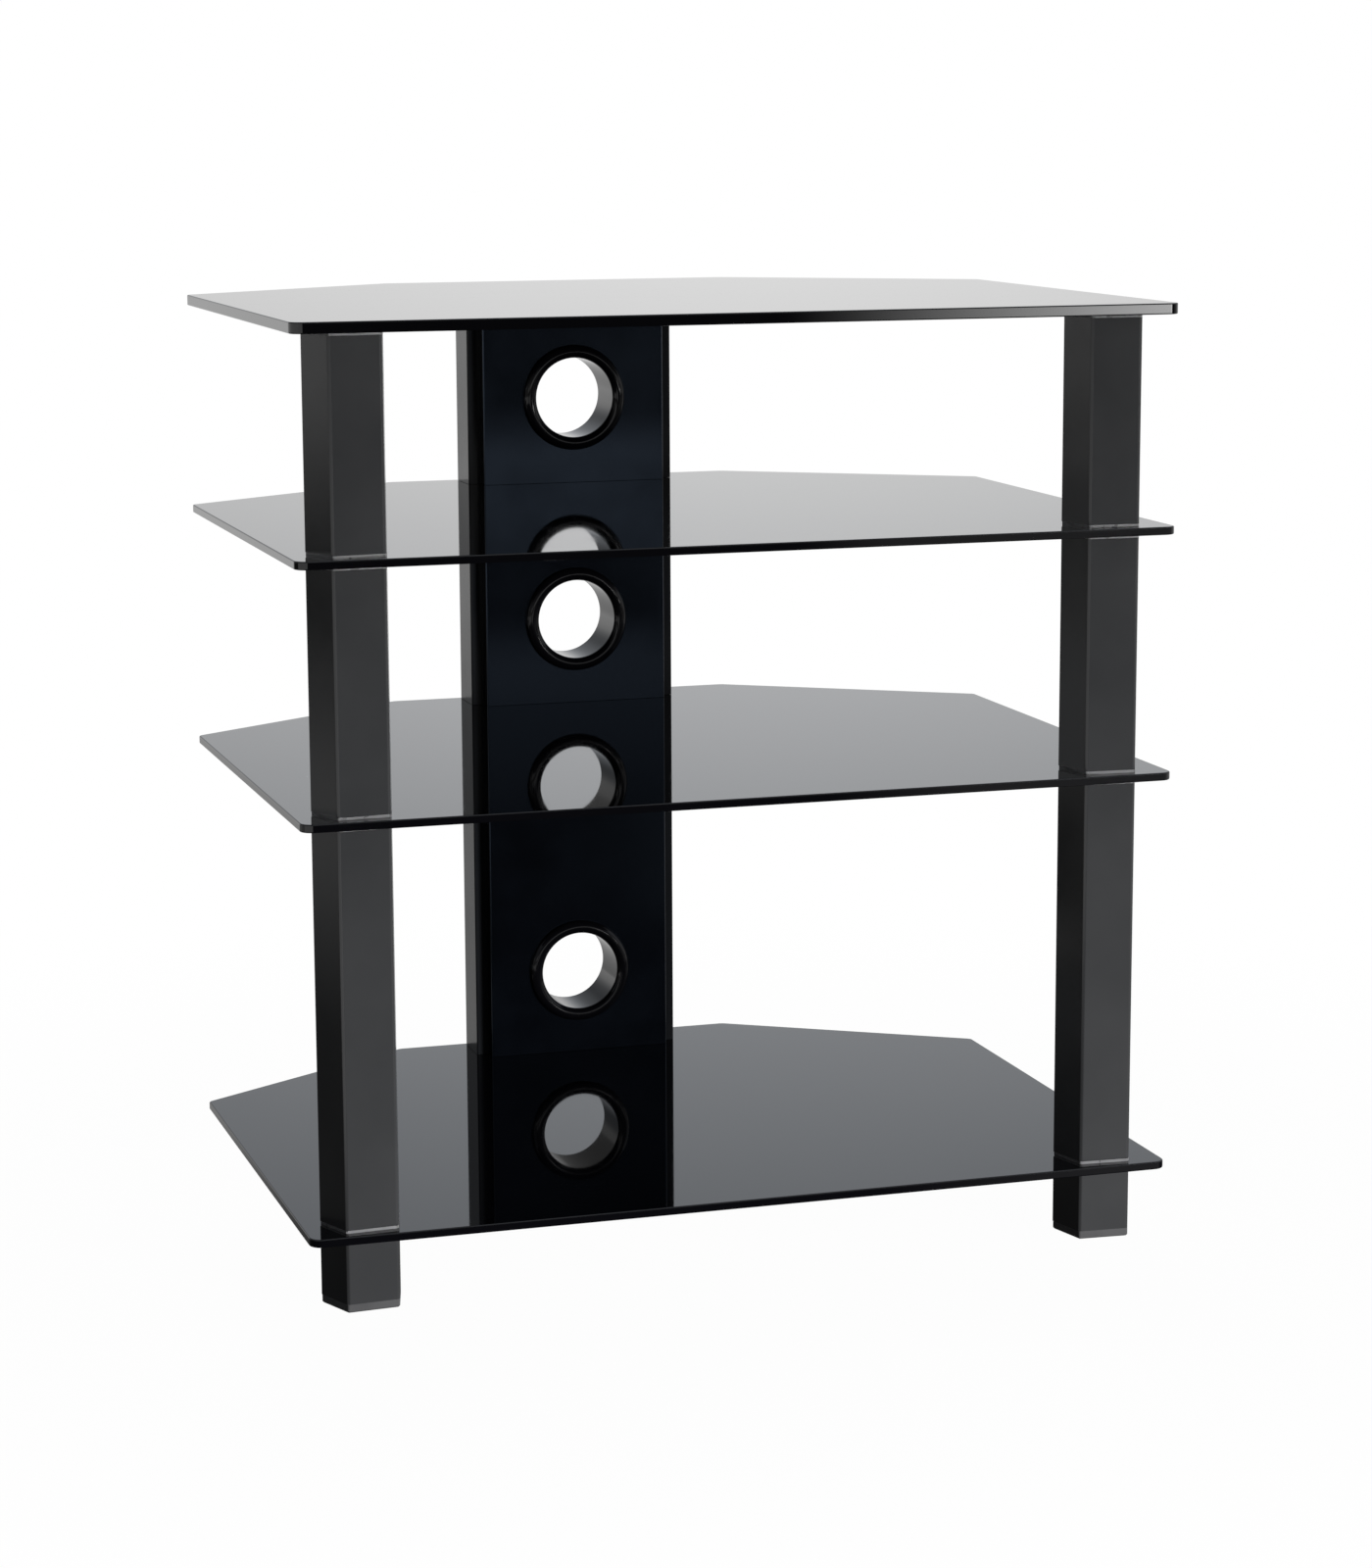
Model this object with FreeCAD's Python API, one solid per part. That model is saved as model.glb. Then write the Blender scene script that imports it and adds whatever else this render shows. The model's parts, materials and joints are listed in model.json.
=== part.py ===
"""Three-legged glass television stand: four glass shelves on two front posts and a rear cable column."""
import FreeCAD, Part
import math
import os

# Overall shelf outline, a hexagon with a narrow back edge
STAND_WIDTH = 650.0
STAND_DEPTH = 515.0
SIDE_LENGTH = 396.0
BACK_WIDTH = 284.0
FRONT_CORNER_RADIUS = 9.0
SIDE_CORNER_RADIUS = 2.5
ARRIS = 0.8

# Height of each shelf's upper face above the floor, and the glass thickness
SHELF_LEVELS = {"top": 695.0, "upper": 534.0, "lower": 353.0, "bottom": 58.0}
TOP_GLASS = 8.0
SHELF_GLASS = 6.0

# Front posts: tapered tube section, narrower at the front, turned a little inwards
POST_FRONT_WIDTH = 38.0
POST_DEPTH = 33.0
POST_SPLAY = 18.0
POST_TURN = 4.0
POST_WALL = 2.0
POST_RADIUS = 2.0
POST_OFFSET_X = 279.0
POST_SETBACK = 10.0

# Joint hardware shared by the posts and the column
PAD = 2.0
PLUG = 14.0
STUD_DIAMETER = 8.0
STUD_GRIP = 12.0
STUD_CHAMFER = 0.8
GLASS_HOLE = 10.0
BOND_DISC = 26.0
BOND_GAP = 0.4
CAP = 6.0
CAP_SPIGOT = 10.0
CAP_CHAMFER = 1.0

# Rear column: flat rectangular tube with a raised front panel and a cable hole in each tier
COLUMN_WIDTH = 171.0
COLUMN_DEPTH = 38.0
COLUMN_WALL = 2.0
COLUMN_RADIUS = 1.5
COLUMN_INSET = 4.0
COLUMN_GAP = 0.2
COLUMN_PAD_CLEARANCE = 0.3
COLUMN_STUD_X = 58.0
PANEL_WIDTH = 151.0
PANEL_DEPTH = 12.0
PANEL_WALL = 3.0
PANEL_RADIUS = 1.2
SCREW_DIAMETER = 4.0
SCREW_CLEARANCE = 4.5
SCREW_HEAD = 8.0
SCREW_HEAD_HEIGHT = 2.5
SCREW_BITE = 7.0
BOSS_DIAMETER = 9.0
SCREW_X = 64.0
SCREW_INSET_Z = 26.0

# Cable grommet: half-round flange, sleeve and a lock ring inside the column, reached by a hole in its back
CABLE_HOLE = 64.0
SLEEVE = 67.0
SLEEVE_LENGTH = 40.0
SLEEVE_CLEARANCE = 0.5
FLANGE = 85.0
FLANGE_HEIGHT = 6.0
FLANGE_OUTER_ROUND = 5.0
FLANGE_INNER_ROUND = 4.0
CABLE_HOLE_HEIGHT = 69.0
LOCK_RING = 76.0
LOCK_RING_HEIGHT = 3.0
LOCK_RING_ROUND = 1.0
ACCESS_HOLE = 80.0

# Places that follow from the sizes above
FRONT = -STAND_DEPTH / 2
BACK = STAND_DEPTH / 2
COLUMN_BACK = BACK - COLUMN_INSET
COLUMN_FRONT = COLUMN_BACK - COLUMN_DEPTH
COLUMN_MIDDLE = (COLUMN_FRONT + COLUMN_BACK) / 2
PANEL_FRONT = COLUMN_FRONT - PANEL_DEPTH
SHELF_ORDER = ["top", "upper", "lower", "bottom"]
TIERS = {"upper": ("top", "upper"), "middle": ("upper", "lower"), "lower": ("lower", "bottom")}
UP = FreeCAD.Vector(0, 0, 1)
REARWARD = FreeCAD.Vector(0, 1, 0)


def glass_thickness(level):
    return TOP_GLASS if level == "top" else SHELF_GLASS


def top_of(level):
    return SHELF_LEVELS[level]


def underside_of(level):
    return SHELF_LEVELS[level] - glass_thickness(level)


def tier_span(tier, gap=PAD):
    """Height span of a piece between two sheets of glass, clear of them by a pad or another gap."""
    above, below = TIERS[tier]
    return top_of(below) + gap, underside_of(above) - gap


def prism(points, bottom, top):
    corners = [FreeCAD.Vector(x, y, bottom) for x, y in points]
    outline = Part.makePolygon(corners + corners[:1])
    return Part.Face(outline).extrude(UP * (top - bottom))


def cylinder(diameter, base, direction, length):
    return Part.makeCylinder(diameter / 2, length, base, direction)


def is_upright(edge):
    first, last = edge.Vertexes[0].Point, edge.Vertexes[-1].Point
    return abs(first.z - last.z) > 1e-3 and (first - last).cross(UP).Length < 1e-3


def round_uprights(solid, radius):
    return solid.makeFillet(radius, [edge for edge in solid.Edges if is_upright(edge)])


def edges_at_height(solid, height):
    return [edge for edge in solid.Edges if all(abs(v.Z - height) < 1e-3 for v in edge.Vertexes)]


def save(name, shape):
    os.makedirs("parts", exist_ok=True)
    shape.exportStep("parts/" + name + ".step")


# Glass shelves

def shelf_outline():
    half_width = STAND_WIDTH / 2
    half_back = BACK_WIDTH / 2
    side_end = FRONT + SIDE_LENGTH
    return [(-half_width, FRONT), (half_width, FRONT), (half_width, side_end),
            (half_back, BACK), (-half_back, BACK), (-half_width, side_end)]


def round_corners(sheet):
    """Rounds the two front corners well and the four behind them only a little."""
    front = [edge for edge in sheet.Edges if is_upright(edge) and edge.Vertexes[0].Y < 0]
    sheet = sheet.makeFillet(FRONT_CORNER_RADIUS, front)
    behind = [edge for edge in sheet.Edges if is_upright(edge) and edge.Vertexes[0].Y > 0]
    return sheet.makeFillet(SIDE_CORNER_RADIUS, behind)


def stud_places():
    """Plan positions of the studs: one in each front post and two in the column."""
    places = [post_centre(side) for side in ("left", "right")]
    return places + [(-COLUMN_STUD_X, COLUMN_MIDDLE), (COLUMN_STUD_X, COLUMN_MIDDLE)]


def shelf(level):
    bottom, top = underside_of(level), top_of(level)
    glass = round_corners(prism(shelf_outline(), bottom, top))
    glass = glass.makeChamfer(ARRIS, edges_at_height(glass, top) + edges_at_height(glass, bottom))
    if level == "top":
        return glass
    for x, y in stud_places():
        glass = glass.cut(cylinder(GLASS_HOLE, FreeCAD.Vector(x, y, bottom), UP, top - bottom))
    return glass


# Front posts

def post_outline(side, inset):
    """Tapered section, drawn in by the inset, turned and set in its place."""
    taper = math.tan(math.radians(POST_SPLAY))
    slant = inset / math.cos(math.radians(POST_SPLAY))
    front_half = POST_FRONT_WIDTH / 2 + inset * taper - slant
    back_half = POST_FRONT_WIDTH / 2 + (POST_DEPTH - inset) * taper - slant
    front_y, back_y = inset, POST_DEPTH - inset
    section = [(-front_half, front_y), (front_half, front_y), (back_half, back_y), (-back_half, back_y)]
    return [post_place(side, x, y) for x, y in section]


def post_place(side, x, y):
    """Moves a point of the section to the left post, and mirrors it for the right one."""
    turn = math.radians(POST_TURN)
    placed_x = x * math.cos(turn) - y * math.sin(turn) - POST_OFFSET_X
    placed_y = x * math.sin(turn) + y * math.cos(turn) + FRONT + POST_SETBACK
    return (placed_x, placed_y) if side == "left" else (-placed_x, placed_y)


def post_centre(side):
    return post_place(side, 0.0, POST_DEPTH / 2)


def post_bar(side, inset, bottom, top):
    radius = max(POST_RADIUS - inset, POST_RADIUS / 4)
    return round_uprights(prism(post_outline(side, inset), bottom, top), radius)


def post_tube(side, bottom, top):
    return post_bar(side, 0.0, bottom, top).cut(post_bar(side, POST_WALL, bottom, top))


def post_hole(side, diameter, bottom, top):
    x, y = post_centre(side)
    return cylinder(diameter, FreeCAD.Vector(x, y, bottom), UP, top - bottom)


def post_plug(side, bottom):
    return post_bar(side, POST_WALL, bottom, bottom + PLUG).cut(
        post_hole(side, STUD_DIAMETER, bottom, bottom + PLUG))


def post_pad(side, bottom, hole):
    return post_bar(side, 0.0, bottom, bottom + PAD).cut(post_hole(side, hole, bottom, bottom + PAD))


def foot_cap(bar):
    """Moulded cap of a foot: a plate under the tube and a spigot up inside it."""
    plate = bar(0.0, 0.0, CAP)
    plate = plate.makeChamfer(CAP_CHAMFER, edges_at_height(plate, 0.0))
    return plate.fuse(bar(POST_WALL, CAP, CAP + CAP_SPIGOT)).removeSplitter()


# Studs and bonded discs

def stud(x, y, level):
    """Threaded rod through one shelf, gripping the plugs above and below it."""
    bottom = underside_of(level) - PAD - STUD_GRIP
    length = top_of(level) + PAD + STUD_GRIP - bottom
    rod = cylinder(STUD_DIAMETER, FreeCAD.Vector(x, y, bottom), UP, length)
    return rod.makeChamfer(STUD_CHAMFER, edges_at_height(rod, bottom) + edges_at_height(rod, bottom + length))


def bond_disc(x, y):
    """Disc glued under the top glass, with a stud down into the plug below."""
    glue_face = underside_of("top")
    disc = cylinder(BOND_DISC, FreeCAD.Vector(x, y, glue_face - PAD), UP, PAD)
    tail = cylinder(STUD_DIAMETER, FreeCAD.Vector(x, y, glue_face - PAD - STUD_GRIP), UP, STUD_GRIP)
    return disc.fuse(tail).removeSplitter()


# Rear column

def column_bar(inset, bottom, top):
    half = COLUMN_WIDTH / 2 - inset
    front_y, back_y = COLUMN_FRONT + inset, COLUMN_BACK - inset
    outline = [(-half, front_y), (half, front_y), (half, back_y), (-half, back_y)]
    return round_uprights(prism(outline, bottom, top), COLUMN_RADIUS if inset < COLUMN_WALL else 0.5)


def column_tube(bottom, top):
    return column_bar(0.0, bottom, top).cut(column_bar(COLUMN_WALL, bottom, top))


def column_holes(diameter, bottom, top):
    holes = [cylinder(diameter, FreeCAD.Vector(x, COLUMN_MIDDLE, bottom), UP, top - bottom)
             for x in (-COLUMN_STUD_X, COLUMN_STUD_X)]
    return holes[0].fuse(holes[1])


def end_block(bottom):
    block = column_bar(COLUMN_WALL, bottom, bottom + PLUG)
    return block.cut(column_holes(STUD_DIAMETER, bottom, bottom + PLUG))


def column_pad(bottom, hole):
    """Pad inside the end of a column tube, between the end block and the glass."""
    pad = column_bar(COLUMN_WALL + COLUMN_PAD_CLEARANCE, bottom, bottom + PAD)
    return pad.cut(column_holes(hole, bottom, bottom + PAD))


def cable_axis(tier):
    return top_of(TIERS[tier][1]) + CABLE_HOLE_HEIGHT


def along_hole(tier, diameter, front_y, back_y):
    """Cylinder on the cable hole's axis between two depths."""
    return cylinder(diameter, FreeCAD.Vector(0, front_y, cable_axis(tier)), REARWARD, back_y - front_y)


def screw_points(tier):
    bottom, top = tier_span(tier)
    heights = (bottom + SCREW_INSET_Z, top - SCREW_INSET_Z)
    return [(x, z) for z in heights for x in (-SCREW_X, SCREW_X)]


def column_body(tier):
    body = column_tube(*tier_span(tier, COLUMN_GAP))
    body = body.cut(along_hole(tier, SLEEVE + SLEEVE_CLEARANCE, COLUMN_FRONT, COLUMN_MIDDLE))
    body = body.cut(along_hole(tier, ACCESS_HOLE, COLUMN_MIDDLE, COLUMN_BACK))
    for x, z in screw_points(tier):
        body = body.cut(cylinder(SCREW_CLEARANCE, FreeCAD.Vector(x, COLUMN_FRONT, z), REARWARD, COLUMN_WALL))
    return body


def panel_box(inset, bottom, top, front_y):
    half = PANEL_WIDTH / 2 - inset
    outline = [(-half, front_y), (half, front_y), (half, COLUMN_FRONT), (-half, COLUMN_FRONT)]
    return prism(outline, bottom, top)


def front_panel(tier):
    """Gloss cover: a shallow tray with screw bosses inside and a round opening for the grommet."""
    bottom, top = tier_span(tier, COLUMN_GAP)
    tray = panel_box(0.0, bottom, top, PANEL_FRONT)
    corners = [e for e in tray.Edges if is_upright(e) and abs(e.Vertexes[0].Y - PANEL_FRONT) < 1e-3]
    tray = tray.makeFillet(PANEL_RADIUS, corners)
    hollow_front = PANEL_FRONT + PANEL_WALL
    tray = tray.cut(panel_box(PANEL_WALL, bottom + PANEL_WALL, top - PANEL_WALL, hollow_front))
    bite_front = COLUMN_FRONT - SCREW_BITE
    for x, z in screw_points(tier):
        boss_base = FreeCAD.Vector(x, hollow_front, z)
        boss = cylinder(BOSS_DIAMETER, boss_base, REARWARD, COLUMN_FRONT - hollow_front)
        pilot = cylinder(SCREW_DIAMETER, FreeCAD.Vector(x, bite_front, z), REARWARD, SCREW_BITE)
        tray = tray.fuse(boss).cut(pilot)
    opening = along_hole(tier, SLEEVE + SLEEVE_CLEARANCE, PANEL_FRONT, COLUMN_FRONT)
    return tray.cut(opening).removeSplitter()


def panel_screw(x, z):
    """Screw from inside the column, through its front wall, into a panel boss."""
    seat = COLUMN_FRONT + COLUMN_WALL
    tip = COLUMN_FRONT - SCREW_BITE
    shank = cylinder(SCREW_DIAMETER, FreeCAD.Vector(x, tip, z), REARWARD, seat - tip)
    head = cylinder(SCREW_HEAD, FreeCAD.Vector(x, seat, z), REARWARD, SCREW_HEAD_HEIGHT)
    return shank.fuse(head).removeSplitter()


def circle_edges(solid, radius, depth):
    circles = [edge for edge in solid.Edges if isinstance(edge.Curve, Part.Circle)]
    sized = [edge for edge in circles if abs(edge.Curve.Radius - radius) < 1e-3]
    return [edge for edge in sized if abs(edge.Curve.Center.y - depth) < 1e-3]


def grommet(tier):
    front_y = PANEL_FRONT - FLANGE_HEIGHT
    rear_y = PANEL_FRONT + SLEEVE_LENGTH
    flange = along_hole(tier, FLANGE, front_y, PANEL_FRONT)
    piece = flange.fuse(along_hole(tier, SLEEVE, PANEL_FRONT, rear_y))
    piece = piece.cut(along_hole(tier, CABLE_HOLE, front_y, rear_y)).removeSplitter()
    piece = piece.makeFillet(FLANGE_OUTER_ROUND, circle_edges(piece, FLANGE / 2, front_y))
    return piece.makeFillet(FLANGE_INNER_ROUND, circle_edges(piece, CABLE_HOLE / 2, front_y))


def lock_ring(tier):
    """Ring screwed onto the sleeve behind the column's front wall."""
    front_y = COLUMN_FRONT + COLUMN_WALL
    rear_y = front_y + LOCK_RING_HEIGHT
    ring = along_hole(tier, LOCK_RING, front_y, rear_y).cut(along_hole(tier, SLEEVE, front_y, rear_y))
    return ring.makeFillet(LOCK_RING_ROUND, circle_edges(ring, LOCK_RING / 2, rear_y))


# Writing the pieces

def save_shelves():
    for level in SHELF_ORDER:
        save(level + "_glass" if level == "top" else level + "_shelf_glass", shelf(level))


def pad_levels():
    """Every pad's name, lowest height and hole: one under the top glass, then one each side of a shelf."""
    pads = [("under_top", underside_of("top") - PAD, BOND_DISC + BOND_GAP)]
    for level in SHELF_ORDER[1:]:
        pads.append(("on_" + level, top_of(level), GLASS_HOLE))
        pads.append(("under_" + level, underside_of(level) - PAD, GLASS_HOLE))
    return pads


def foot_top():
    return underside_of("bottom") - PAD


def plug_heights():
    """Lowest height of the plug at each end of the tubes, the foot having one only at its top."""
    heights = []
    for tier in TIERS:
        bottom, top = tier_span(tier)
        heights += [bottom, top - PLUG]
    return heights + [foot_top() - PLUG]


def save_post(side):
    for tier in TIERS:
        save(side + "_" + tier + "_post", post_tube(side, *tier_span(tier)))
    save(side + "_foot_post", post_tube(side, CAP, foot_top()))
    save(side + "_foot_cap", foot_cap(lambda inset, low, high: post_bar(side, inset, low, high)))
    for name, bottom, hole in pad_levels():
        save(side + "_pad_" + name, post_pad(side, bottom, hole))
    save(side + "_post_plugs", Part.makeCompound([post_plug(side, z) for z in plug_heights()]))
    x, y = post_centre(side)
    save(side + "_post_studs", Part.makeCompound([stud(x, y, level) for level in SHELF_ORDER[1:]]))
    save(side + "_bond_disc", bond_disc(x, y))


def save_column():
    for tier in TIERS:
        save("column_" + tier + "_body", column_body(tier))
        save(tier + "_front_panel", front_panel(tier))
        save(tier + "_cable_grommet", grommet(tier))
        save(tier + "_lock_ring", lock_ring(tier))
    save("rear_foot_post", column_tube(CAP, underside_of("bottom") - COLUMN_GAP))
    save("rear_foot_cap", foot_cap(column_bar))
    for name, bottom, hole in pad_levels():
        save("column_pad_" + name, column_pad(bottom, hole))
    save("column_end_blocks", Part.makeCompound([end_block(z) for z in plug_heights()]))
    stud_x = (-COLUMN_STUD_X, COLUMN_STUD_X)
    studs = [stud(x, COLUMN_MIDDLE, level) for level in SHELF_ORDER[1:] for x in stud_x]
    save("column_studs", Part.makeCompound(studs))
    save("column_bond_discs", Part.makeCompound([bond_disc(x, COLUMN_MIDDLE) for x in stud_x]))
    screws = [panel_screw(x, z) for tier in TIERS for x, z in screw_points(tier)]
    save("panel_screws", Part.makeCompound(screws))


def main():
    save_shelves()
    save_post("left")
    save_post("right")
    save_column()


main()
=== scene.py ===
import json
import math
import bmesh
import bpy
from mathutils import Matrix, Vector


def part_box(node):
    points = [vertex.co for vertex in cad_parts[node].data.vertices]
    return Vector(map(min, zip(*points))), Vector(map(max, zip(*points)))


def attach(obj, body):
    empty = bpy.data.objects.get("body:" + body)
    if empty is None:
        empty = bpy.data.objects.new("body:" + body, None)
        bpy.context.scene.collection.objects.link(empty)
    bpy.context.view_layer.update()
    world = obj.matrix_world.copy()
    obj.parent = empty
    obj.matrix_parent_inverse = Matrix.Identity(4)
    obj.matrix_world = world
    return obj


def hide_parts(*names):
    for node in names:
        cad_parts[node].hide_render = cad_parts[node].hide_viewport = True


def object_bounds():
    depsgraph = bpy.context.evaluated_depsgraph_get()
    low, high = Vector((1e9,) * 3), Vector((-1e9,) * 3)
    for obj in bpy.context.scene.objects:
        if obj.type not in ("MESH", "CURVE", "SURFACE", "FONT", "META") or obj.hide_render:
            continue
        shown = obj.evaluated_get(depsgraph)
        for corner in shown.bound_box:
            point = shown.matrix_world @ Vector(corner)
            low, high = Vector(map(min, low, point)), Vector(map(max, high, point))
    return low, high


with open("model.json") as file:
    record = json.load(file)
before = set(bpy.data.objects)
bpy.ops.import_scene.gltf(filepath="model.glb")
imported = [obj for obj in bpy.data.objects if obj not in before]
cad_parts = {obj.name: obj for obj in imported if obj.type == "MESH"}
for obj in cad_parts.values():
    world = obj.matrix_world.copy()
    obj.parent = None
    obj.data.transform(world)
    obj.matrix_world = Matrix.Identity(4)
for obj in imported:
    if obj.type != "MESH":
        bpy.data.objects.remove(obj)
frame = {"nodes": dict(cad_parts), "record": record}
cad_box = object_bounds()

# Shelf outline, in metres
SIDE_LENGTH = 0.396
BACK_WIDTH = 0.284
FRONT_CORNER_RADIUS = 0.009
SIDE_CORNER_RADIUS = 0.0025
ARRIS = 0.0009

# Front post section, in metres and degrees
POST_FRONT_WIDTH = 0.038
POST_DEPTH = 0.033
POST_SPLAY = 18.0
POST_TURN = 4.0
POST_WALL = 0.002
POST_RADIUS = 0.002
POST_OFFSET_X = 0.279
POST_SETBACK = 0.010

# Grommet and lock ring, in metres
CABLE_HOLE = 0.064
SLEEVE_WALL = 0.0015
FLANGE_HEIGHT = 0.006
FLANGE_OUTER_ROUND = 0.0055
FLANGE_INNER_ROUND = 0.0045
LOCK_RING_ROUND = 0.001
SPIN_STEPS = 96

# Node names are made from these words
SHELVES = ("top_glass", "upper_shelf_glass", "lower_shelf_glass", "bottom_shelf_glass")
TIERS = ("upper", "middle", "lower")
POST_LENGTHS = TIERS + ("foot",)
SIDES = ("left", "right")

# Mesh limits: points this near are one, a face this level is an end, and areas this alike weigh the same
SAME_PLACE = 1e-6
LEVEL_NORMAL = 0.9
SAME_AREA = 1e-7

# Stretch of a noise's values that is used
NOISE_LOW = 0.3
NOISE_HIGH = 0.7

# Camera, fitted to the edges of the shelves and posts
CAMERA_PLACE = (-0.8340, -2.7736, 0.8408)
CAMERA_TURN = -17.31
CAMERA_TILT = 10.214
CAMERA_ROLL = -0.267
CAMERA_LENS = 87.307
SENSOR_WIDTH = 36.0

# Lamps, in metres, watts and degrees
FRONT_LAMP = {"place": (1.9, -3.4, 0.30), "target": (-0.45, 0, -0.8), "size": (1.0, 0.6),
              "power": 25.5, "beam": 54.0}
BACK_LAMP = {"place": (0.6, 3.4, 1.0), "target": (0, 0, 0.3), "size": (1.6, 1.0),
             "power": 130.0, "beam": 180.0}

# Light card: its place and size in metres
CARD_PLACE = (3.5, -6.0, 0.35)
CARD_WIDTH = 3.0
CARD_HEIGHT = 0.16

# Floor: half its side in metres, and its colour where the shadow falls
FLOOR_REACH = 15.0
FLOOR_COLOUR = (0.85, 0.85, 0.85, 1.0)

# The room's level as soft light on the stand, and its colours low down and high up
ROOM_LIGHT = 0.08
ROOM_WHITE = (1.0, 1.0, 1.0, 1.0)
ROOM_BLUE = (0.88, 0.93, 1.0, 1.0)
WHITE_BELOW = 0.08
BLUE_ABOVE = 0.30

# Fades. Each gives where it starts, where it ends, and its level at the start and at the end.

# Light card, by X in metres
CARD_GLOW = (1.95, 3.3, 0.0, 11.0)

# Floor as the camera sees it, by distance from the stand's middle: the rest is shadow
PLAIN_WHITE = (0.4, 1.2, 0.98, 1.0)

# Floor in reflections, by X or Y in metres: behind the stand
FLOOR_NEAR_Y = (-0.25, 0.6, 0.025, 0.56)
FLOOR_FAR_Y = (1.3, 4.5, 0.0, 0.36)

# Floor in reflections: to the left of the stand
LEFT_PATCH_INNER_X = (-1.8, -0.95, 0.42, 0.0)
LEFT_PATCH_OUTER_X = (-3.0, -2.1, 0.0, 1.0)
FAR_LEFT_X = (-8.0, -4.4, 1.0, 0.06)
FRONT_LEFT_Y = (-0.6, -0.25, 0.9, 0.0)
LEFT_SHARE_X = (-0.62, -0.45, 1.0, 0.0)
LEFT_SHARE_DIAGONAL = (-0.1, 0.6, 1.0, 0.0)

# Floor in reflections: to the right of the stand and to its front right, past a line on a slant
RIGHT_X = (0.4, 2.0, 0.0, 0.60)
RIGHT_FRONT_Y = (-2.0, -0.5, 0.0, 1.0)
SLANT = 0.33
FRONT_RIGHT_SLANT = (-0.03, 0.24, 0.0, 0.28)
FRONT_RIGHT_FAR_Y = (-6.5, -4.8, 0.0, 1.0)
FRONT_RIGHT_NEAR_Y = (-0.38, -0.28, 1.0, 0.0)

# Room in reflections, by parts of the ray's direction: behind the stand, where sideways is X over Y
BACK_FOOT_Z = (0.03, 0.10, 0.84, 0.92)
BACK_RISE_Z = (0.10, 0.50, 1.0, 0.30)
BACK_MIDDLE = 0.33
BACK_OFF_MIDDLE = (0.0, 0.35, 1.06, 0.80)
BACK_LEFT_RISE_Z = (0.0, 0.24, 1.36, 0.55)
BACK_LEFT_INNER = (-0.20, 0.02, 1.0, 0.0)
BACK_LEFT_OUTER = (-0.9, -0.5, 0.0, 1.0)
BACK_SHARE_Y = (0.20, 0.85, 0.0, 1.0)

# Room in reflections: in front, at the sides, low at the far left and overhead
FRONT_FOOT_Z = (0.02, 0.08, 0.10, 1.3)
FRONT_RISE_Z = (0.09, 0.20, 1.0, 0.09)
FRONT_SHARE_Y = (-0.85, -0.5, 1.0, 0.0)
SIDES_X = (-0.2, 0.5, 0.25, 0.60)
FAR_LEFT_FOOT_Z = (0.11, 0.16, 0.45, 1.2)
FAR_LEFT_RISE_Z = (0.19, 0.25, 1.0, 0.1)
FAR_LEFT_SHARE = (-1.1, -0.8, 1.0, 0.0)
FAR_LEFT_SHARE_X = (-0.5, -0.3, 1.0, 0.0)
OVERHEAD_Z = (0.40, 0.85, 0.0, 0.30)


# Mesh helpers

def mesh_object(name, bm, material):
    """Object with the bmesh's shape and one material."""
    mesh = bpy.data.meshes.new(name)
    bm.to_mesh(mesh)
    bm.free()
    mesh.materials.append(material)
    piece = bpy.data.objects.new(name, mesh)
    bpy.context.scene.collection.objects.link(piece)
    return piece


def finish_piece(name, bm, material, node, smooth_angle=35.0, flatness=50):
    """Makes the bmesh an object that stands for one CAD node and rides on the stand."""
    bmesh.ops.recalc_face_normals(bm, faces=bm.faces)
    piece = mesh_object(name, bm, material)
    piece.data.shade_smooth()
    piece.data.set_sharp_from_angle(angle=math.radians(smooth_angle))
    flat = piece.modifiers.new("flat_faces", "WEIGHTED_NORMAL")
    flat.keep_sharp = True
    flat.weight = flatness
    flat.thresh = SAME_AREA
    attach(piece, "root")
    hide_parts(node)
    return piece


def outline_bar(points, bottom, top):
    """Upright bar over a plan outline."""
    bm = bmesh.new()
    face = bm.faces.new([bm.verts.new((x, y, bottom)) for x, y in points])
    raised = bmesh.ops.extrude_face_region(bm, geom=[face])["geom"]
    lifted = [item for item in raised if isinstance(item, bmesh.types.BMVert)]
    bmesh.ops.translate(bm, verts=lifted, vec=(0, 0, top - bottom))
    return bm


def upright_edges(bm):
    return [e for e in bm.edges if abs(e.verts[0].co.z - e.verts[1].co.z) > SAME_PLACE]


def level_edges(bm, height):
    return [e for e in bm.edges if all(abs(v.co.z - height) < SAME_PLACE for v in e.verts)]


def round_edges(bm, edges, offset, segments):
    bmesh.ops.bevel(bm, geom=edges, offset=offset, offset_type="OFFSET", affect="EDGES",
                    segments=segments, profile=0.5, material=-1)


# Material helpers

def new_material(name, colour, roughness, **inputs):
    """Principled material with its even values set on the shader's own sockets."""
    material = bpy.data.materials.new(name)
    material.use_nodes = True
    shader = material.node_tree.nodes["Principled BSDF"]
    shader.inputs["Base Color"].default_value = (*colour, 1.0)
    shader.inputs["Roughness"].default_value = roughness
    for socket, value in inputs.items():
        shader.inputs[socket.replace("_", " ")].default_value = value
    return material


def add_noise(material, scale, detail, stretch=(1.0, 1.0, 1.0)):
    """Noise on the piece's own coordinates; returns the noise node."""
    nodes, links = material.node_tree.nodes, material.node_tree.links
    place = nodes.new("ShaderNodeTexCoord")
    mapping = nodes.new("ShaderNodeMapping")
    mapping.inputs["Scale"].default_value = stretch
    noise = nodes.new("ShaderNodeTexNoise")
    noise.inputs["Scale"].default_value = scale
    noise.inputs["Detail"].default_value = detail
    links.new(place.outputs["Object"], mapping.inputs["Vector"])
    links.new(mapping.outputs["Vector"], noise.inputs["Vector"])
    return noise


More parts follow.
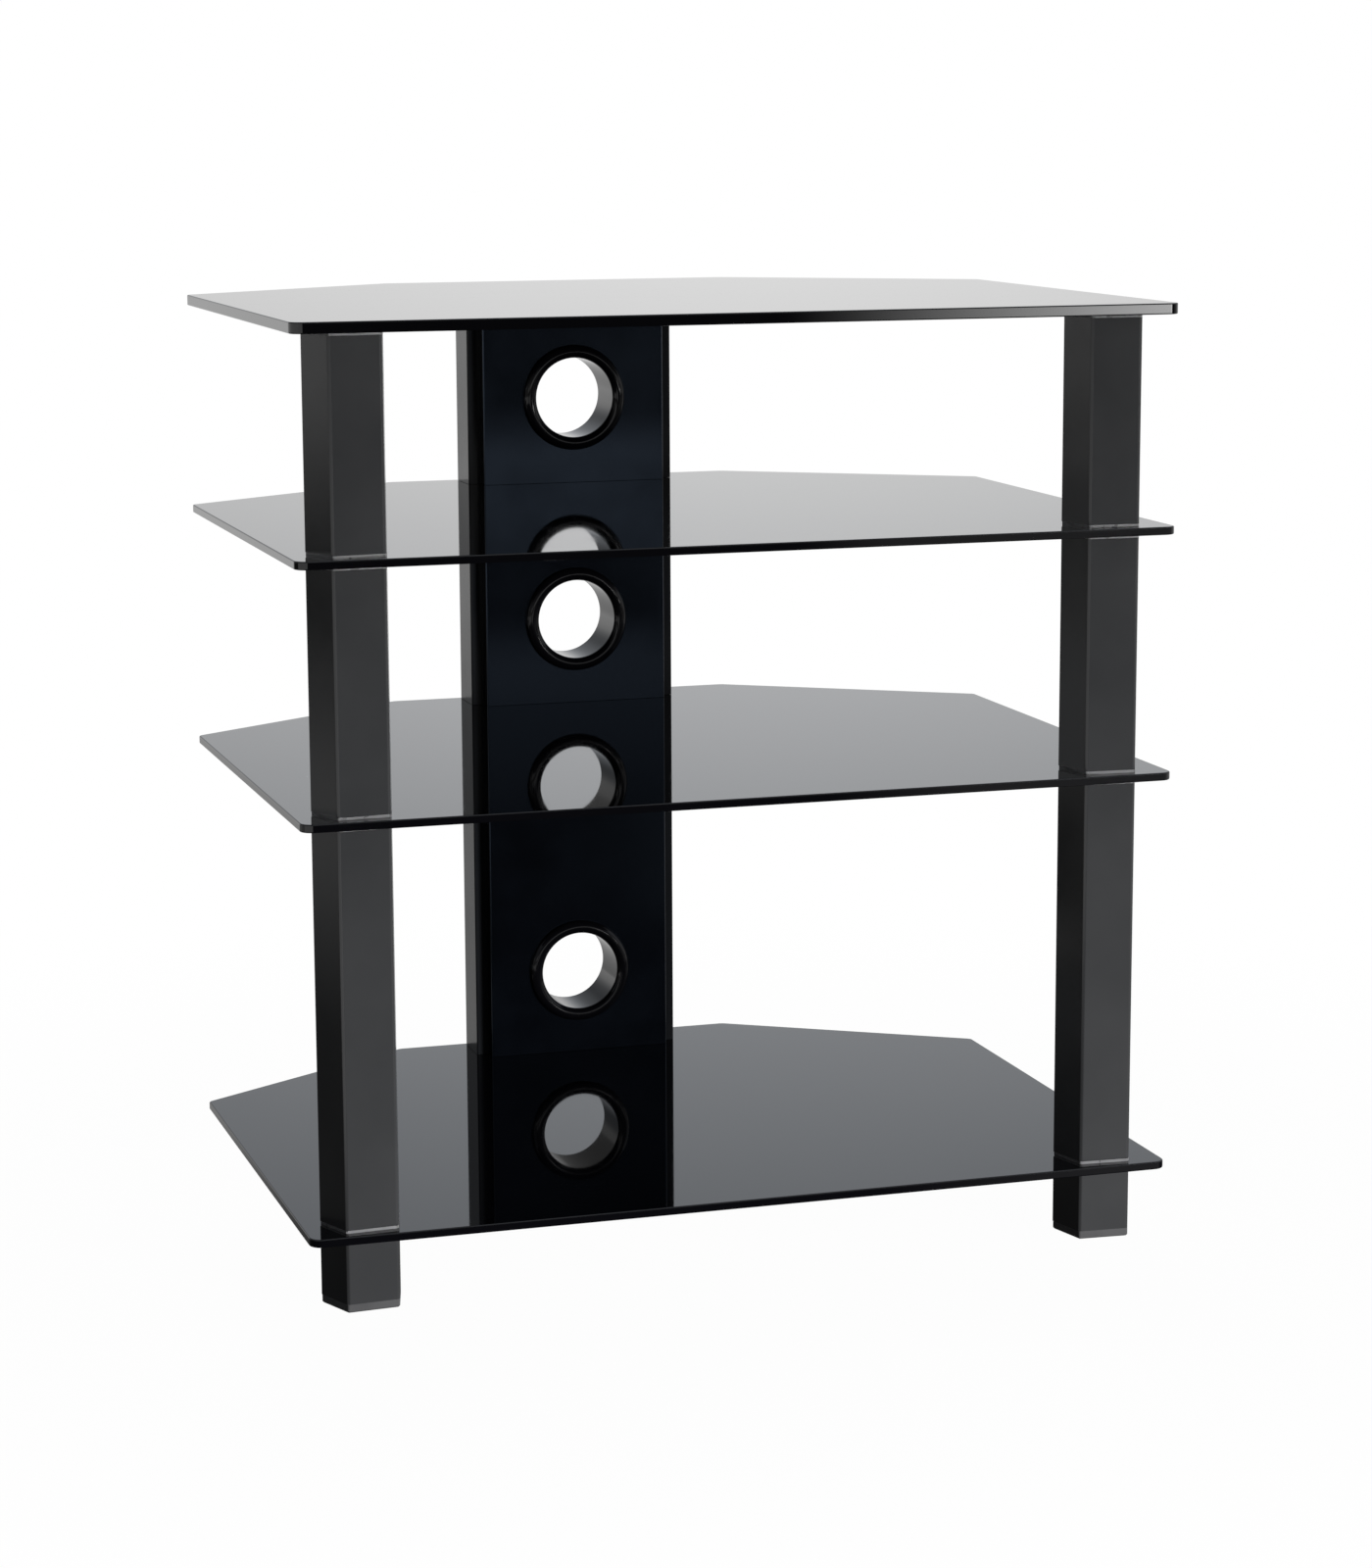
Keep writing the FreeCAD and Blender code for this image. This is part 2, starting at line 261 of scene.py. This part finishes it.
def vary(material, noise, socket, low, high):
    """Sends the noise to a shader socket, between two values."""
    nodes, links = material.node_tree.nodes, material.node_tree.links
    values = nodes.new("ShaderNodeMapRange")
    values.inputs["From Min"].default_value = NOISE_LOW
    values.inputs["From Max"].default_value = NOISE_HIGH
    values.inputs["To Min"].default_value = low
    values.inputs["To Max"].default_value = high
    links.new(noise.outputs["Fac"], values.inputs["Value"])
    links.new(values.outputs["Result"], nodes["Principled BSDF"].inputs[socket])


def tint(material, noise, dark, light):
    """Sends the noise to the base colour, between two colours."""
    nodes, links = material.node_tree.nodes, material.node_tree.links
    ramp = nodes.new("ShaderNodeValToRGB")
    first, last = ramp.color_ramp.elements
    first.position, first.color = NOISE_LOW, (*dark, 1.0)
    last.position, last.color = NOISE_HIGH, (*light, 1.0)
    links.new(noise.outputs["Fac"], ramp.inputs["Fac"])
    links.new(ramp.outputs["Color"], nodes["Principled BSDF"].inputs["Base Color"])


def roughen(material, noise, strength, distance):
    """Bump from the noise."""
    nodes, links = material.node_tree.nodes, material.node_tree.links
    bump = nodes.new("ShaderNodeBump")
    bump.inputs["Strength"].default_value = strength
    bump.inputs["Distance"].default_value = distance
    links.new(noise.outputs["Fac"], bump.inputs["Height"])
    links.new(bump.outputs["Normal"], nodes["Principled BSDF"].inputs["Normal"])


# Materials

def black_glass():
    """Opaque gloss black glass with faint wipe marks in its polish."""
    material = new_material("black_glass", (0.002, 0.002, 0.003), 0.03, IOR=1.5)
    wipes = add_noise(material, scale=7.0, detail=4.0, stretch=(1.0, 3.0, 1.0))
    vary(material, wipes, "Roughness", low=0.015, high=0.05)
    return material


def post_paint():
    """Satin charcoal powder coat with its fine pebbled skin."""
    material = new_material("post_paint", (0.045, 0.046, 0.048), 0.16, Specular_IOR_Level=0.4)
    skin = add_noise(material, scale=1500.0, detail=3.0)
    roughen(material, skin, strength=0.12, distance=0.0002)
    cloud = add_noise(material, scale=14.0, detail=3.0)
    vary(material, cloud, "Roughness", low=0.13, high=0.19)
    tint(material, cloud, dark=(0.042, 0.043, 0.045), light=(0.050, 0.051, 0.053))
    return material


def column_paint():
    """Satin black coat of the column tubes."""
    material = new_material("column_paint", (0.011, 0.012, 0.014), 0.2, Specular_IOR_Level=0.125)
    skin = add_noise(material, scale=1500.0, detail=3.0)
    roughen(material, skin, strength=0.08, distance=0.0002)
    cloud = add_noise(material, scale=14.0, detail=3.0)
    vary(material, cloud, "Roughness", low=0.16, high=0.24)
    tint(material, cloud, dark=(0.010, 0.011, 0.013), light=(0.013, 0.014, 0.016))
    return material


def panel_gloss():
    """Gloss black moulded panel with a trace of blue and a slow moulding ripple."""
    material = new_material("panel_gloss", (0.001, 0.0013, 0.002), 0.18, IOR=1.5,
                            Specular_Tint=(0.55, 0.72, 1.0, 1.0))
    ripple = add_noise(material, scale=22.0, detail=2.0)
    vary(material, ripple, "Roughness", low=0.15, high=0.21)
    tint(material, ripple, dark=(0.0008, 0.001, 0.0016), light=(0.0013, 0.0016, 0.0025))
    return material


def grommet_gloss():
    """Gloss black moulding of the grommets and lock rings."""
    material = new_material("grommet_gloss", (0.003, 0.003, 0.004), 0.08, IOR=1.36)
    swirl = add_noise(material, scale=60.0, detail=3.0)
    vary(material, swirl, "Roughness", low=0.06, high=0.12)
    return material


def foot_plastic():
    """Grey moulded plastic of the foot caps."""
    material = new_material("foot_plastic", (0.09, 0.09, 0.093), 0.5, Specular_IOR_Level=0.3)
    grain = add_noise(material, scale=1100.0, detail=4.0)
    roughen(material, grain, strength=0.2, distance=0.0002)
    cloud = add_noise(material, scale=40.0, detail=3.0)
    tint(material, cloud, dark=(0.08, 0.08, 0.083), light=(0.10, 0.10, 0.103))
    return material


def clear_pad():
    """Milky translucent pad."""
    material = new_material("clear_pad", (0.29, 0.29, 0.30), 0.3, Transmission_Weight=0.3, IOR=1.45)
    cloud = add_noise(material, scale=80.0, detail=3.0)
    tint(material, cloud, dark=(0.26, 0.26, 0.27), light=(0.33, 0.33, 0.34))
    vary(material, cloud, "Roughness", low=0.25, high=0.4)
    return material


def black_rubber():
    """Thin black rubber with a dull, slightly dusty face."""
    material = new_material("black_rubber", (0.012, 0.012, 0.012), 0.7, Specular_IOR_Level=0.25)
    dust = add_noise(material, scale=300.0, detail=4.0)
    tint(material, dust, dark=(0.008, 0.008, 0.008), light=(0.018, 0.018, 0.018))
    vary(material, dust, "Roughness", low=0.6, high=0.85)
    return material


def black_nylon():
    """Moulded nylon of the plugs and blocks."""
    material = new_material("black_nylon", (0.02, 0.02, 0.02), 0.45)
    grain = add_noise(material, scale=700.0, detail=3.0)
    roughen(material, grain, strength=0.15, distance=0.0002)
    vary(material, grain, "Roughness", low=0.38, high=0.55)
    return material


def zinc_steel():
    """Zinc plated steel, faintly mottled."""
    material = new_material("zinc_steel", (0.55, 0.55, 0.56), 0.3, Metallic=1.0)
    mottle = add_noise(material, scale=220.0, detail=4.0)
    tint(material, mottle, dark=(0.48, 0.49, 0.50), light=(0.62, 0.62, 0.62))
    vary(material, mottle, "Roughness", low=0.22, high=0.42)
    return material


SLOT_MATERIALS = {
    "black_glass": black_glass(),
    "post_charcoal": post_paint(),
    "column_charcoal": column_paint(),
    "panel_gloss_black": panel_gloss(),
    "grommet_black": grommet_gloss(),
    "foot_grey": foot_plastic(),
    "clear_pad": clear_pad(),
    "black_rubber": black_rubber(),
    "black_nylon": black_nylon(),
    "zinc_steel": zinc_steel(),
}
GLASS = SLOT_MATERIALS["black_glass"]
POST_PAINT = SLOT_MATERIALS["post_charcoal"]
GROMMET_GLOSS = SLOT_MATERIALS["grommet_black"]


def paint_nodes():
    """Gives every CAD node the finish of its record slot."""
    for row in frame["record"]["subparts"]:
        node = frame["nodes"][row["node"]]
        node.data.materials.clear()
        node.data.materials.append(SLOT_MATERIALS[row["material_slot"]])


# Glass shelves

def shelf_outline(low, high):
    """Six-sided plan, widest at the front and narrow at the back."""
    side_end = low.y + SIDE_LENGTH
    half_back = BACK_WIDTH / 2
    return [(low.x, low.y), (high.x, low.y), (high.x, side_end),
            (half_back, high.y), (-half_back, high.y), (low.x, side_end)]


def shelf_glass(node):
    """Sheet with rounded corners and a polished arris all round."""
    low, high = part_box(node)
    bm = outline_bar(shelf_outline(low, high), low.z, high.z)
    front = [e for e in upright_edges(bm) if e.verts[0].co.y < 0]
    round_edges(bm, front, FRONT_CORNER_RADIUS, segments=8)
    behind = [e for e in upright_edges(bm) if e.verts[0].co.y > 0]
    round_edges(bm, behind, SIDE_CORNER_RADIUS, segments=4)
    round_edges(bm, level_edges(bm, low.z) + level_edges(bm, high.z), ARRIS, segments=3)
    return finish_piece(node + "_sheet", bm, GLASS, node, flatness=100)


# Front posts

def post_outline(side, front):
    """Tapered plan of a post, turned and set in its place."""
    front_half = POST_FRONT_WIDTH / 2
    back_half = front_half + POST_DEPTH * math.tan(math.radians(POST_SPLAY))
    section = [(-front_half, 0), (front_half, 0), (back_half, POST_DEPTH), (-back_half, POST_DEPTH)]
    turn = Matrix.Rotation(math.radians(POST_TURN), 2)
    placed = [turn @ Vector(point) + Vector((-POST_OFFSET_X, front + POST_SETBACK)) for point in section]
    return [(p.x, p.y) if side == "left" else (-p.x, p.y) for p in placed]


def post_tube(side, node):
    """Square-ended tube with rounded edges."""
    low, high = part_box(node)
    bm = outline_bar(post_outline(side, cad_box[0].y), low.z, high.z)
    round_edges(bm, upright_edges(bm), POST_RADIUS, segments=5)
    ends = [f for f in bm.faces if abs(f.normal.z) > LEVEL_NORMAL]
    bmesh.ops.inset_individual(bm, faces=ends, thickness=POST_WALL)
    rims = [e for f in ends for e in f.edges]
    bmesh.ops.delete(bm, geom=ends, context="FACES_ONLY")
    bmesh.ops.bridge_loops(bm, edges=rims)
    return finish_piece(node + "_tube", bm, POST_PAINT, node, flatness=100)


# Grommets and lock rings

def ring_of(profile, centre_z):
    """Spins a closed profile of (radius, depth) points about the cable hole's axis."""
    bm = bmesh.new()
    ring = [bm.verts.new((radius, depth, centre_z)) for radius, depth in profile]
    edges = [bm.edges.new((ring[i], ring[(i + 1) % len(ring)])) for i in range(len(ring))]
    bmesh.ops.spin(bm, geom=ring + edges, cent=(0, 0, centre_z), axis=(0, 1, 0), angle=math.tau,
                   steps=SPIN_STEPS, use_merge=True)
    bmesh.ops.remove_doubles(bm, verts=bm.verts, dist=SAME_PLACE)
    return bm


def arc(centre, radius, start, end, steps):
    """Points on an arc in the (radius, depth) plane, from start to end degrees."""
    angles = [math.radians(start + (end - start) * i / steps) for i in range(steps + 1)]
    return [(centre[0] + radius * math.cos(a), centre[1] + radius * math.sin(a)) for a in angles]


def cable_grommet(tier):
    """Domed flange on a long sleeve."""
    node = tier + "_cable_grommet"
    low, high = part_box(node)
    bore = CABLE_HOLE / 2
    sleeve = bore + SLEEVE_WALL
    flange = (high.x - low.x) / 2
    seat = low.y + FLANGE_HEIGHT
    outer_centre = (flange - FLANGE_OUTER_ROUND, low.y + FLANGE_OUTER_ROUND)
    inner_centre = (bore + FLANGE_INNER_ROUND, low.y + FLANGE_INNER_ROUND)
    profile = [(bore, high.y), (sleeve, high.y), (sleeve, seat), (flange, seat)]
    profile += arc(outer_centre, FLANGE_OUTER_ROUND, start=0, end=-90, steps=8)
    profile += arc(inner_centre, FLANGE_INNER_ROUND, start=-90, end=-180, steps=6)
    bm = ring_of(profile, (low.z + high.z) / 2)
    name = tier + "_grommet_moulding"
    return finish_piece(name, bm, GROMMET_GLOSS, node, smooth_angle=50.0)


def lock_ring(tier):
    """Threaded ring inside the column, with a rounded rim."""
    node = tier + "_lock_ring"
    low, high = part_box(node)
    inner = CABLE_HOLE / 2 + SLEEVE_WALL
    outer = (high.x - low.x) / 2
    rim_centre = (outer - LOCK_RING_ROUND, high.y - LOCK_RING_ROUND)
    profile = [(inner, low.y), (outer, low.y)]
    profile += arc(rim_centre, LOCK_RING_ROUND, start=0, end=90, steps=5)
    profile += [(inner, high.y)]
    bm = ring_of(profile, (low.z + high.z) / 2)
    name = tier + "_lock_ring_moulding"
    return finish_piece(name, bm, GROMMET_GLOSS, node, smooth_angle=50.0)


# Stage helpers

def bare_tree(owner):
    """Empty node tree of a material or world."""
    owner.use_nodes = True
    owner.node_tree.nodes.clear()
    return owner.node_tree


def feed(tree, socket, value):
    """Links a socket, or sets a number, on an input."""
    if isinstance(value, bpy.types.NodeSocket):
        tree.links.new(value, socket)
    else:
        socket.default_value = value


def arithmetic(tree, operation, first, second=0.0):
    """Math node on two sockets or numbers; returns its output."""
    node = tree.nodes.new("ShaderNodeMath")
    node.operation = operation
    feed(tree, node.inputs[0], first)
    feed(tree, node.inputs[1], second)
    return node.outputs["Value"]


def plus(tree, first, second):
    return arithmetic(tree, "ADD", first, second)


def times(tree, first, second):
    return arithmetic(tree, "MULTIPLY", first, second)


def larger(tree, first, second):
    return arithmetic(tree, "MAXIMUM", first, second)


def fade(tree, value, stretch):
    """Soft step of a socket's value, from one of the fades at the top."""
    node = tree.nodes.new("ShaderNodeMapRange")
    node.interpolation_type = "SMOOTHSTEP"
    for name, number in zip(("From Min", "From Max", "To Min", "To Max"), stretch):
        node.inputs[name].default_value = number
    tree.links.new(value, node.inputs["Value"])
    return node.outputs["Result"]


def choose(tree, share, first, second):
    """First value where share is 0, second where it is 1."""
    node = tree.nodes.new("ShaderNodeMix")
    tree.links.new(share, node.inputs["Factor"])
    feed(tree, node.inputs["A"], first)
    feed(tree, node.inputs["B"], second)
    return node.outputs["Result"]


def axes_of(tree, coordinates):
    """X, Y and Z of one of the texture coordinates."""
    place = tree.nodes.new("ShaderNodeTexCoord")
    axes = tree.nodes.new("ShaderNodeSeparateXYZ")
    tree.links.new(place.outputs[coordinates], axes.inputs["Vector"])
    return axes.outputs["X"], axes.outputs["Y"], axes.outputs["Z"]


def surface_output(tree, kind, shader):
    out = tree.nodes.new(kind)
    tree.links.new(shader, out.inputs["Surface"])


# Floor

def distance_from_middle(tree):
    place = tree.nodes.new("ShaderNodeTexCoord")
    length = tree.nodes.new("ShaderNodeVectorMath")
    length.operation = "LENGTH"
    tree.links.new(place.outputs["Object"], length.inputs[0])
    return length.outputs["Value"]


def floor_behind(tree, y):
    """Dark before the stand, pale behind it and paler far off."""
    return plus(tree, fade(tree, y, FLOOR_NEAR_Y), fade(tree, y, FLOOR_FAR_Y))


def floor_left(tree, x, y):
    """A pale patch on a dark floor that is white far off and to the front."""
    patch = times(tree, fade(tree, x, LEFT_PATCH_INNER_X), fade(tree, x, LEFT_PATCH_OUTER_X))
    far = plus(tree, patch, fade(tree, x, FAR_LEFT_X))
    return larger(tree, far, fade(tree, y, FRONT_LEFT_Y))


def floor_right(tree, x, y):
    """Pale on the right, with a dimmer field to the front right."""
    right = times(tree, fade(tree, x, RIGHT_X), fade(tree, y, RIGHT_FRONT_Y))
    slanted = plus(tree, x, times(tree, y, SLANT))
    field = times(tree, fade(tree, y, FRONT_RIGHT_FAR_Y), fade(tree, y, FRONT_RIGHT_NEAR_Y))
    front_right = times(tree, fade(tree, slanted, FRONT_RIGHT_SLANT), field)
    return larger(tree, right, front_right)


def floor_in_reflections(tree):
    """The floor's level all round the stand, as gloss shows it."""
    x, y, _ = axes_of(tree, "Object")
    left_share = times(tree, fade(tree, x, LEFT_SHARE_X),
                       fade(tree, plus(tree, x, y), LEFT_SHARE_DIAGONAL))
    around = choose(tree, left_share, floor_behind(tree, y), floor_left(tree, x, y))
    return larger(tree, around, floor_right(tree, x, y))


def floor_material():
    """White floor with a faint shadow by the stand, soft as light, with its own levels in reflections."""
    material = bpy.data.materials.new("floor_white")
    tree = bare_tree(material)
    path = tree.nodes.new("ShaderNodeLightPath")
    seen = larger(tree, path.outputs["Is Camera Ray"], path.outputs["Is Transmission Ray"])
    lighting = larger(tree, path.outputs["Is Glossy Ray"], path.outputs["Is Diffuse Ray"])
    white = times(tree, seen, fade(tree, distance_from_middle(tree), PLAIN_WHITE))
    lit = choose(tree, path.outputs["Is Glossy Ray"], ROOM_LIGHT, floor_in_reflections(tree))
    matt = tree.nodes.new("ShaderNodeBsdfDiffuse")
    matt.inputs["Color"].default_value = FLOOR_COLOUR
    glow = tree.nodes.new("ShaderNodeEmission")
    tree.links.new(choose(tree, seen, lit, 1.0), glow.inputs["Strength"])
    mix = tree.nodes.new("ShaderNodeMixShader")
    tree.links.new(larger(tree, white, lighting), mix.inputs["Fac"])
    tree.links.new(matt.outputs["BSDF"], mix.inputs[1])
    tree.links.new(glow.outputs["Emission"], mix.inputs[2])
    surface_output(tree, "ShaderNodeOutputMaterial", mix.outputs["Shader"])
    material.cycles.emission_sampling = "NONE"
    return material


def floor():
    bm = bmesh.new()
    bmesh.ops.create_grid(bm, x_segments=1, y_segments=1, size=FLOOR_REACH)
    piece = mesh_object("floor", bm, floor_material())


# Room

def room_behind(tree, sideways, z):
    """Bright low down, brightest a little right of the middle, and dimmer upwards at the left."""
    height = times(tree, fade(tree, z, BACK_FOOT_Z), fade(tree, z, BACK_RISE_Z))
    off_middle = arithmetic(tree, "ABSOLUTE", arithmetic(tree, "SUBTRACT", sideways, BACK_MIDDLE))
    middle = times(tree, height, fade(tree, off_middle, BACK_OFF_MIDDLE))
    left_share = times(tree, fade(tree, sideways, BACK_LEFT_INNER), fade(tree, sideways, BACK_LEFT_OUTER))
    return times(tree, middle, choose(tree, left_share, 1.0, fade(tree, z, BACK_LEFT_RISE_Z)))


def room_in_front(tree, x, y, z):
    """A bright low band straight in front, and plain sides."""
    band = times(tree, fade(tree, z, FRONT_FOOT_Z), fade(tree, z, FRONT_RISE_Z))
    return choose(tree, fade(tree, y, FRONT_SHARE_Y), fade(tree, x, SIDES_X), band)


def room_in_reflections(tree, x, y, z):
    """The room's level all round the stand, as gloss shows it."""
    sideways = arithmetic(tree, "DIVIDE", x, y)
    back_share = fade(tree, y, BACK_SHARE_Y)
    walls = choose(tree, back_share, room_in_front(tree, x, y, z), room_behind(tree, sideways, z))
    far_left = times(tree, fade(tree, z, FAR_LEFT_FOOT_Z), fade(tree, z, FAR_LEFT_RISE_Z))
    far_left_share = times(tree, fade(tree, sideways, FAR_LEFT_SHARE), fade(tree, x, FAR_LEFT_SHARE_X))
    around = choose(tree, far_left_share, walls, far_left)
    return plus(tree, around, fade(tree, z, OVERHEAD_Z))


def room_colour(tree, z):
    """White low down, with a trace of blue higher up."""
    ramp = tree.nodes.new("ShaderNodeValToRGB")
    first, last = ramp.color_ramp.elements
    first.position, first.color = WHITE_BELOW, ROOM_WHITE
    last.position, last.color = BLUE_ABOVE, ROOM_BLUE
    tree.links.new(z, ramp.inputs["Fac"])
    return ramp.outputs["Color"]


def white_world():
    """Room that is white to the camera, soft as light, with its own levels in reflections."""
    world = bpy.data.worlds.new("studio")
    bpy.context.scene.world = world
    tree = bare_tree(world)
    x, y, z = axes_of(tree, "Generated")
    path = tree.nodes.new("ShaderNodeLightPath")
    seen = larger(tree, path.outputs["Is Camera Ray"], path.outputs["Is Transmission Ray"])
    lit = choose(tree, path.outputs["Is Glossy Ray"], ROOM_LIGHT, room_in_reflections(tree, x, y, z))
    background = tree.nodes.new("ShaderNodeBackground")
    tree.links.new(room_colour(tree, z), background.inputs["Color"])
    tree.links.new(choose(tree, seen, lit, 1.0), background.inputs["Strength"])
    surface_output(tree, "ShaderNodeOutputWorld", background.outputs["Background"])


# Light card, lamps and camera

def card_light():
    """Glow that rises from the card's left end."""
    material = bpy.data.materials.new("card_light")
    tree = bare_tree(material)
    x, _, _ = axes_of(tree, "Object")
    glow = tree.nodes.new("ShaderNodeEmission")
    tree.links.new(fade(tree, x, CARD_GLOW), glow.inputs["Strength"])
    surface_output(tree, "ShaderNodeOutputMaterial", glow.outputs["Emission"])
    return material


def glow_card():
    """Softly edged light card at the front right, seen only in reflections."""
    bm = bmesh.new()
    bmesh.ops.create_grid(bm, x_segments=1, y_segments=1, size=0.5)
    upright = Matrix.Rotation(math.radians(90.0), 3, "X")
    bmesh.ops.rotate(bm, verts=bm.verts, cent=(0, 0, 0), matrix=upright)
    bmesh.ops.scale(bm, verts=bm.verts, vec=(CARD_WIDTH, 1.0, CARD_HEIGHT))
    bmesh.ops.translate(bm, verts=bm.verts, vec=CARD_PLACE)
    piece = mesh_object("glow_card", bm, card_light())
    piece.visible_camera = False
    piece.visible_diffuse = False
    piece.visible_shadow = False


def soft_lamp(name, place, target, size, power, beam):
    """Area lamp that lights the stand and is not mirrored in it."""
    lamp = bpy.data.lights.new(name, "AREA")
    lamp.shape = "RECTANGLE"
    lamp.size, lamp.size_y = size
    lamp.energy = power
    lamp.spread = math.radians(beam)
    holder = bpy.data.objects.new(name, lamp)
    holder.location = place
    holder.rotation_euler = (Vector(target) - Vector(place)).to_track_quat("-Z", "Y").to_euler()
    holder.visible_glossy = False
    bpy.context.scene.collection.objects.link(holder)


def camera():
    data = bpy.data.cameras.new("camera")
    data.lens = CAMERA_LENS
    data.sensor_width = SENSOR_WIDTH
    holder = bpy.data.objects.new("camera", data)
    bpy.context.scene.collection.objects.link(holder)
    turn = Matrix.Rotation(math.radians(CAMERA_TURN), 4, "Z")
    tilt = Matrix.Rotation(math.radians(90.0 - CAMERA_TILT), 4, "X")
    roll = Matrix.Rotation(math.radians(CAMERA_ROLL), 4, "Z")
    holder.matrix_world = Matrix.Translation(CAMERA_PLACE) @ turn @ tilt @ roll
    bpy.context.scene.camera = holder


def build_stand():
    paint_nodes()
    for node in SHELVES:
        shelf_glass(node)
    for side in SIDES:
        for length in POST_LENGTHS:
            post_tube(side, side + "_" + length + "_post")
    for tier in TIERS:
        cable_grommet(tier)
        lock_ring(tier)


def build_stage():
    floor()
    white_world()
    glow_card()
    soft_lamp("front_softbox", **FRONT_LAMP)
    soft_lamp("back_softbox", **BACK_LAMP)
    camera()
    bpy.context.scene.view_settings.view_transform = "Standard"


build_stand()
build_stage()
